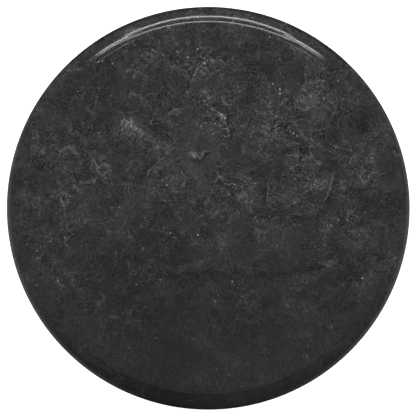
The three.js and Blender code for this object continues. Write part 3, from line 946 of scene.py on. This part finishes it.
COLUMN_WALL = 2
LOWER_COLLAR_WALL = 4
GRUB = {"thread_depth": 0.48, "pitch": 0.8, "key": 2.5, "socket": 2.5}
ROD_THREAD = {"depth": 1.07, "pitch": 1.75, "lower_length": 38, "upper_length": 30}
TO_BACK = Matrix.Rotation(-TURN / 4, 4, "X")  # lays +Z along +Y


def make_column(material):
    work = washer(COLUMN_RADIUS - COLUMN_WALL, COLUMN_RADIUS, COLUMN_BOTTOM, COLUMN_TOP, 0.4)
    piece(work, "column_tube", material)


def make_upper_collar(material):
    """A turned bead between two thin fillets, pierced at the back for its grub screw."""
    bottom, top = heights("upper_collar")
    radius, bore, centre = high("upper_collar").x, COLUMN_RADIUS + FIT, (bottom + top) / 2
    fillet, brim, groove = 1.2, radius - 2.6, radius - 3.7
    half = (top - bottom) / 2 - fillet - 0.3
    bead = []
    for step in range(CURVE_STEPS + 1):
        angle = TURN / 2 * (step / CURVE_STEPS - 0.5)
        bead.append((groove + (radius - groove) * math.cos(angle), centre + half * math.sin(angle)))
    lower = [(bore, bottom, 0.3), (brim, bottom, 0.3), (brim, bottom + fillet, 0.2)]
    upper = [(brim, top - fillet, 0.2), (brim, top, 0.3), (bore, top, 0.3)]
    outline = softened((bore, centre), *lower, (groove, bottom + fillet))
    outline += bead
    outline += softened((groove, top - fillet), *upper, (bore, centre))
    collar = solid(lathe(outline), "upper_collar")
    hole = rod(high("collar_grub_screw").x + FIT, bore - 2, radius + 2)
    combined(collar, "DIFFERENCE", [moved(hole, (0, 0, centre), tilt=TO_BACK)])
    piece(collar, "upper_collar", material)


def make_grub_screw(steel):
    """A cup-point grub screw that bears on the column."""
    name = "collar_grub_screw"
    tip, end = low(name).y, high(name).y
    radius, key = high(name).x, hexagon(GRUB["key"])
    outline = [
        (0, tip + 0.5),
        (1.0, tip),
        (radius - 0.8, tip),
        *thread(radius, GRUB["thread_depth"], GRUB["pitch"], tip + 0.8, end - 0.3),
        (radius - 0.4, end),
        (key, end),
        (key, end - GRUB["socket"]),
        (0, end - GRUB["socket"] - 0.4),
    ]
    place = (0, 0, sum(heights(name)) / 2)
    piece(moved(lathe(outline, HEX_SEGMENTS), place, tilt=TO_BACK), name, steel)


def make_lower_collar(material):
    """A skirt that sweeps out from the column to stand on the base."""
    bottom, top = heights("lower_collar")
    radius, bore = high("lower_collar").x, COLUMN_RADIUS + FIT
    neck, lip, centre = bore + LOWER_COLLAR_WALL, bottom + 4, (bottom + top) / 2
    foot = [(bore, bottom, 0.3), (radius, bottom, 0.8), (radius, lip, 0.5), (radius - 1.5, lip + 0.3)]
    outline = softened((bore, centre), *foot)
    outline += bezier((radius - 1.6, lip + 0.35), (neck + 1.5, lip + 2), (neck, top - 9), (neck, top - 4))
    outline += softened((neck, top - 4), (neck, top, 1.5), (bore, top, 0.3), (bore, centre))[1:]
    piece(lathe(outline), "lower_collar", material)


def make_tie_rod(steel):
    """A long stud, threaded at both ends."""
    depth, pitch = ROD_THREAD["depth"], ROD_THREAD["pitch"]
    outline = [
        (0, ROD_BOTTOM),
        (ROD_RADIUS - 1.2, ROD_BOTTOM),
        *thread(ROD_RADIUS, depth, pitch, ROD_BOTTOM + 1, ROD_BOTTOM + ROD_THREAD["lower_length"]),
        *thread(ROD_RADIUS, depth, pitch, ROD_TOP - ROD_THREAD["upper_length"], ROD_TOP - 1),
        (ROD_RADIUS - 1.2, ROD_TOP),
        (0, ROD_TOP),
    ]
    piece(lathe(outline, SMALL_SEGMENTS), "tie_rod", steel)


# ---- Base and what clamps it ----

BASE_SEGMENTS = 240
BASE_SHELL = 8
DOME = ((BASE_RADIUS - 4, BASE_RIM + 14), (150, BASE_RIM + 32), (72, BASE_RIM + 34))
DOME_UNDER = [(radius, height - BASE_SHELL) for radius, height in reversed(DOME)]
SEAT_RADIUS = 30
SEAT_HEIGHT = BASE_RIM + 14
RIM_INSIDE = BASE_RADIUS - 13
STIFFENER = {"bottom": BASE_RIM + 6, "half": 3.5, "start": SEAT_RADIUS - 2, "end": BASE_RADIUS - 6}
BOSS_RADIUS = 12
SPLIT = 2.5  # width of the gap in the spring washer


def base_outline():
    """Round the section: rim, dome, hub, column socket, seat, and back out under the dome."""
    socket, floor, hole = COLUMN_RADIUS + FIT, BASE_TOP - SOCKET_DEPTH, ROD_RADIUS + 1
    start = (BASE_RADIUS - 8, BASE_RIM)
    path = softened(start, (BASE_RADIUS, BASE_RIM, 3), (BASE_RADIUS, BASE_RIM + 9))
    path += bezier((BASE_RADIUS, BASE_RIM + 9), (BASE_RADIUS, BASE_RIM + 13), DOME[0], steps=8)[1:]
    path += bezier(*DOME, steps=LONG_CURVE_STEPS)[1:]
    hub = (56, BASE_TOP - 2)
    path += bezier(DOME[-1], (60, BASE_RIM + 34.6), (57, BASE_RIM + 37), hub)[1:]
    path += softened(hub, (54, BASE_TOP, 1), (socket + 0.5, BASE_TOP), (socket, BASE_TOP - 0.5))[1:]
    path += [(socket, floor), (hole, floor), (hole, SEAT_HEIGHT)]
    seat = [(SEAT_RADIUS, SEAT_HEIGHT, 0.8), (SEAT_RADIUS, DOME_UNDER[0][1], 5)]
    path += softened((hole, SEAT_HEIGHT), *seat, DOME_UNDER[0])[1:]
    path += [point for point in under_dome() if DOME_UNDER[0][0] < point[0] < RIM_INSIDE - 5]
    path += softened(path[-1], (RIM_INSIDE - 3, BASE_RIM + 8.5, 4), (RIM_INSIDE, BASE_RIM, 0.8), start)[1:]
    return path


def under_dome():
    return bezier(*DOME_UNDER, steps=LONG_CURVE_STEPS)


def roof_above(radius):
    """The height of the underside of the dome, over a radius inside the rim."""
    points = [(0, DOME_UNDER[0][1]), *under_dome()]
    for (inner, start), (outer, end) in zip(points, points[1:]):
        if inner <= radius <= outer:
            return start + (end - start) * (radius - inner) / (outer - inner)
    return DOME_UNDER[-1][1]


def stiffener():
    """A rib along +X under the dome, flared where it grows out of it."""
    bottom, half, steps = STIFFENER["bottom"], STIFFENER["half"], LONG_CURVE_STEPS
    sections = []
    for step in range(steps + 1):
        along = STIFFENER["start"] + (STIFFENER["end"] - STIFFENER["start"]) * step / steps
        roof = roof_above(along)
        side = [(half - 0.5, bottom), (half, bottom + 0.6)]
        for flare, down in ((0.3, 5), (1.2, 2.4), (3.0, 0.6), (4.5, -2.0)):
            side.append((half + flare, max(roof - down, bottom + 0.7 + flare * 0.1)))
        ring = [(along, y, z) for y, z in side] + [(along, -y, z) for y, z in reversed(side)]
        sections.append(ring)
    return loft(sections)


def boss():
    """The threaded boss over a foot, with a flared root."""
    root = roof_above(FOOT_CIRCLE)
    outline = softened(
        (0, BASE_RIM),
        (BOSS_RADIUS, BASE_RIM, 0.8),
        (BOSS_RADIUS, root - 2, 5),
        (BOSS_RADIUS + 4, root + 2.5),
        (0, root + 2.5),
    )
    return moved(lathe(outline, SMALL_SEGMENTS * 2), (FOOT_CIRCLE, 0, 0))


def make_base(material):
    base = solid(lathe(base_outline(), BASE_SEGMENTS), "base_casting")
    combined(base, "UNION", [moved(stiffener(), turn=turn) for turn in ARM_TURNS])
    combined(base, "UNION", [moved(boss(), turn=turn) for turn in ARM_TURNS])
    seat_cut = rod(SEAT_RADIUS + 1, 0, SEAT_HEIGHT, SEGMENTS)
    stud_top = high("foot_stud_back_right").z + 1
    stud_holes = [moved(rod(STUD["radius"] + FIT, 0, stud_top), place) for place in FOOT_PLACES.values()]
    combined(base, "DIFFERENCE", [seat_cut, *stud_holes])
    piece(base, "base_casting", material)


def make_base_washer(steel):
    name = "base_washer"
    piece(washer(ROD_BORE, high(name).x, *heights(name), 0.35), name, steel)


def make_spring_washer(steel):
    """A ring with a gap, pressed flat."""
    name = "spring_washer"
    bottom, top = heights(name)
    bore, outer, centre = ROD_BORE, high(name).y, (bottom + top) / 2
    gap = math.asin(SPLIT / (bore + outer))
    corners = [(bore, bottom), (outer, bottom), (outer, top), (bore, top)]
    ring = softened((bore, centre), *[(*corner, 0.2) for corner in corners], (bore, centre + 0.1))
    sections = []
    for step in range(SEGMENTS // 2 + 1):
        angle = gap + (TURN - 2 * gap) * step / (SEGMENTS // 2)
        x, y = math.cos(angle), math.sin(angle)
        sections.append([(radius * x, radius * y, height) for radius, height in ring])
    piece(loft(sections), name, steel)


def make_nut(steel):
    name = "tie_rod_nut"
    bottom, top = heights(name)
    across_flats = 2 * high(name).x * math.cos(TURN / 12)
    mouth = ROD_BORE + 0.6
    outline = [(mouth, bottom), *hexagonal_side(across_flats, bottom, top, 1), (mouth, top)]
    outline += thread(mouth, 0.6, ROD_THREAD["pitch"], top - 0.3, bottom + 0.3)
    piece(lathe(outline + outline[:1], HEX_SEGMENTS), name, steel)


# ---- Levelling feet ----

PAD = {"radius": 18, "height": 8, "floor": 2, "flutes": 32, "flute_depth": 0.45, "grips": (5, 9, 13)}
STUD = {"radius": 4, "thread_depth": 0.77, "pitch": 1.25, "button": 6, "neck": 3.6, "hex": 13}


def pad_outline():
    """A low cone with fluted sides, grip rings under it and an undercut socket for the stud."""
    radius, height, floor = PAD["radius"], PAD["height"], PAD["floor"]
    mouth, socket, shelf = STUD["neck"] + FIT, STUD["button"] + FIT, floor + 3 + 2 * FIT
    flutes = fluted(radius, PAD["flutes"], PAD["flute_depth"])
    path = [(0, 0)]
    for inner in PAD["grips"]:
        path += [(inner, 0), (inner + 0.4, 0.5), (inner + 1.4, 0.5), (inner + 1.8, 0)]
    path += softened((16.6, 0), (radius - 0.6, 0, 0.3), (radius - 0.2, 0.6))[1:]
    path += [(radius, 1.0), (flutes, 1.5), (flutes, 3.4), (radius, 3.9)]
    cone = [(radius - 0.3, 4.4, 0.5), (13.4, height - 0.4, 0.8), (12.4, height, 0.5)]
    path += softened((radius, 3.9), *cone, (mouth + 0.5, height))[1:]
    path += [(mouth, height - 0.5), (mouth, shelf), (socket, shelf), (socket, floor), (0, floor)]
    return path


def stud_outline(bottom, top):
    """Button, neck, spanner hexagon and threaded shank."""
    button, neck, shank = STUD["button"], STUD["neck"], STUD["radius"]
    hex_bottom, hex_top = bottom + 6, bottom + 9.4
    return [
        (0, bottom),
        (button - 0.5, bottom),
        (button, bottom + 0.5),
        (button, bottom + 2.5),
        (button - 0.5, bottom + 3),
        (neck, bottom + 3),
        (neck, hex_bottom),
        *hexagonal_side(STUD["hex"], hex_bottom, hex_top, 0.5),
        (shank, hex_top),
        *thread(shank, STUD["thread_depth"], STUD["pitch"], hex_top + 0.5, top - 1),
        (shank - 1, top),
        (0, top),
    ]


def make_feet(nylon, steel):
    for corner, place in FOOT_PLACES.items():
        pad, stud = f"foot_pad_{corner}", f"foot_stud_{corner}"
        piece(moved(lathe(pad_outline()), place), pad, nylon, body=f"pad_{corner}")
        outline = stud_outline(*heights(stud))
        piece(moved(lathe(outline, HEX_SEGMENTS), place), stud, steel, body=f"stud_{corner}")


# ---- Building the table ----


def make_table():
    cast_iron = coated("black_cast_iron", 0.016, 0.42, 330, 0.00022, swell=0.0009)
    powder_coat = coated("black_powder_coat", 0.013, 0.36, 800, 0.00006)
    zinc = metal("zinc_steel", (0.62, 0.64, 0.67, 1), (0.66, 0.62, 0.52, 1), 0.26, 55)
    brass = metal("brass", (0.74, 0.54, 0.24, 1), (0.52, 0.34, 0.14, 1), 0.30, 80)
    make_stone_top()
    make_sub_top(birch_plywood())
    make_top_screws(zinc, brass)
    make_spider(cast_iron)
    make_column(powder_coat)
    make_upper_collar(powder_coat)
    make_grub_screw(zinc)
    make_lower_collar(powder_coat)
    make_tie_rod(zinc)
    make_base(cast_iron)
    make_base_washer(zinc)
    make_spring_washer(zinc)
    make_nut(zinc)
    make_feet(moulded_nylon(), zinc)


make_table()


# ---- Stage, light and camera ----

FLOOR_RINGS = (0, 400, 900, 2000, 5000, 14000)
PAPER = (0.86, 0.86, 0.86, 1)
WHITE = (1, 1, 1, 1)
GLOW_REACH = (1.2, 3.5)  # how far off the paper's own glow starts and stops growing, in metres
GLOW = (0.62, 0.95)


def make_floor():
    """A round sheet of pale paper that glows a little, and lies under the foot that reaches lowest."""
    path = [(radius, 0) for radius in FLOOR_RINGS]
    floor = solid(lathe(path, 2 * SMALL_SEGMENTS), "floor")
    for face in floor.data.polygons:
        if face.normal.z < 0:
            face.flip()
    paint = Paint("paper")
    tooth = paint.noise(300, 3)
    paint.set(base_color=PAPER, roughness=0.9, normal=paint.bump(tooth, 0.0002))
    far = paint.vector("DISTANCE", paint.place, (0, 0, 0))
    glow = paint.span(far, *GLOW_REACH, *GLOW, smooth=True)
    paint.set(emission_color=WHITE, emission_strength=glow)
    floor.data.materials.append(paint.material)
    floor.visible_glossy = False
    for corner in CORNERS:
        under = floor.constraints.new("FLOOR")
        under.target = frame["bodies"][f"pad_{corner}"]
        under.floor_location = "FLOOR_NEGATIVE_Z"


def aimed(thing, place, target):
    thing.location = place
    thing.rotation_euler = (Vector(target) - Vector(place)).to_track_quat("-Z", "Y").to_euler()


def softbox(name, place, target, width, height, power, gloss=True):
    """An area light that the camera doesn't see."""
    light = bpy.data.lights.new(name, "AREA")
    light.shape = "RECTANGLE"
    light.size = width
    light.size_y = height
    light.energy = power
    box = linked(name, light)
    box.visible_camera = False
    box.visible_glossy = gloss
    aimed(box, place, target)
    return box


class Sky(Paint):
    """The world under construction, with directions for its coordinates."""

    def __init__(self, world):
        world.use_nodes = True
        self.tree = world.node_tree
        self.shader = self.tree.nodes["Background"]
        self.place = self.node("ShaderNodeTexCoord").outputs["Generated"]


# How bright the room is overhead and to each side.
CEILING = 0.24
SIDE_WALLS = 0.60
BACK_WALL = 0.14
FRONT_WALL = 0.03


def make_sky():
    """A dim room, brighter to the sides and behind, and plain white where the camera sees it."""
    world = bpy.data.worlds.new("studio")
    bpy.context.scene.world = world
    paint = Sky(world)
    x, y, z = (paint.split(paint.place)[axis] for axis in "XYZ")
    walls = paint.span(z, 0.30, 0.06, 0.0, 1.0, smooth=True)
    sideways = paint.times(y, -0.2, paint.absolute(x))
    sides = paint.times(walls, paint.span(sideways, 0.45, 1.0, 0.0, SIDE_WALLS))
    behind = paint.times(paint.span(y, 0.35, 0.75), paint.span(z, 0.12, 0.30, 0.0, BACK_WALL))
    forward = paint.times(paint.absolute(x), 0.45, y)
    above = paint.span(forward, -0.12, -0.45, CEILING, FRONT_WALL)
    room = paint.times(above, paint.span(z, 0.0, 0.3, 0.15, 1.0), paint.plus(sides, behind))
    camera_sees = paint.node("ShaderNodeLightPath").outputs["Is Camera Ray"]
    paint.feed(paint.shader.inputs["Color"], paint.blend(camera_sees, paint.grey(room), WHITE))


# The arch: soft boxes side by side behind the table, whose ends stand nearer to overhead than its middle.
ARCH_DISTANCE = 2.6  # from the rim
ARCH_TURNS = (-30, -20, -10, 0, 10, 20, 30)  # degrees round from the back
ARCH_CREST = 44.5  # degrees from overhead, seen from the rim
ARCH_FALL = 7.5  # how much nearer to overhead its ends are
ARCH_BOX = (0.39, 0.13)
ARCH_RADIANCE = 17.0

# Two upright strips that draw out the column's roundness and keep off the stone.
STRIP_TURNS = (75, 255)  # degrees round from the front, towards the right
STRIP_DISTANCE = 2.2
STRIP_HEIGHT = 0.45
STRIP_BOX = (0.5, 1.2)
STRIP_RADIANCE = 3.5

# Fills that the polish doesn't mirror: name, place, width, height and watts.
FILLS = (
    ("top_fill", (0, 0.3, 4.2), 3.0, 2.0, 68),
    ("left_fill", (-3.2, 0.4, 2.4), 2.0, 2.0, 44),
    ("right_fill", (3.2, 0.4, 2.4), 2.0, 2.0, 41),
)


def keep_off(light, *names):
    """Stops a light from reaching some of the pieces."""
    spared = bpy.data.collections.new(light.name + "_spares")
    for name in names:
        spared.objects.link(bpy.data.objects[name])
    for link in spared.collection_objects:
        link.light_linking.link_state = "EXCLUDE"
    light.light_linking.receiver_collection = spared


def make_lights():
    surface = Vector((0, 0, TABLE_HEIGHT * MM))
    width, height = ARCH_BOX
    for number, turn in enumerate(ARCH_TURNS):
        across = math.radians(turn)
        tilt = math.radians(ARCH_CREST - ARCH_FALL * (turn / ARCH_TURNS[-1]) ** 4)
        outward = Vector((math.sin(across), math.cos(across), 0))
        rim = surface + outward * TOP_RADIUS * MM
        away = outward * math.sin(tilt) + Vector((0, 0, math.cos(tilt)))
        power = ARCH_RADIANCE * math.pi * width * height
        softbox(f"arch_{number}", rim + away * ARCH_DISTANCE, rim, width, height, power)
    width, height = STRIP_BOX
    for number, turn in enumerate(STRIP_TURNS):
        across = math.radians(turn)
        place = (math.sin(across) * STRIP_DISTANCE, -math.cos(across) * STRIP_DISTANCE, STRIP_HEIGHT)
        power = STRIP_RADIANCE * math.pi * width * height
        strip = softbox(f"strip_{number}", place, (0, 0, STRIP_HEIGHT), width, height, power)
        keep_off(strip, "stone_top_fine")
    for name, place, width, height, power in FILLS:
        softbox(name, place, surface, width, height, power, gloss=False)


CAMERA_DISTANCE = 2.0  # above the widest part of the rim
PICTURE_WIDTH = 0.7229  # what the picture takes in at the rim
SENSOR = 36.0
CAMERA_OFFSET = (-0.00044, 0.00050)  # puts the table's middle where it belongs in the picture


def make_camera():
    """Straight down over the table, with +Y up in the picture."""
    camera = bpy.data.cameras.new("camera")
    camera.sensor_width = SENSOR
    camera.lens = SENSOR * CAMERA_DISTANCE / PICTURE_WIDTH
    eye = linked("camera", camera)
    eye.location = (*CAMERA_OFFSET, OVOLO_END * MM + CAMERA_DISTANCE)
    bpy.context.scene.camera = eye
    bpy.context.scene.view_settings.view_transform = "Standard"


make_floor()
make_sky()
make_lights()
make_camera()
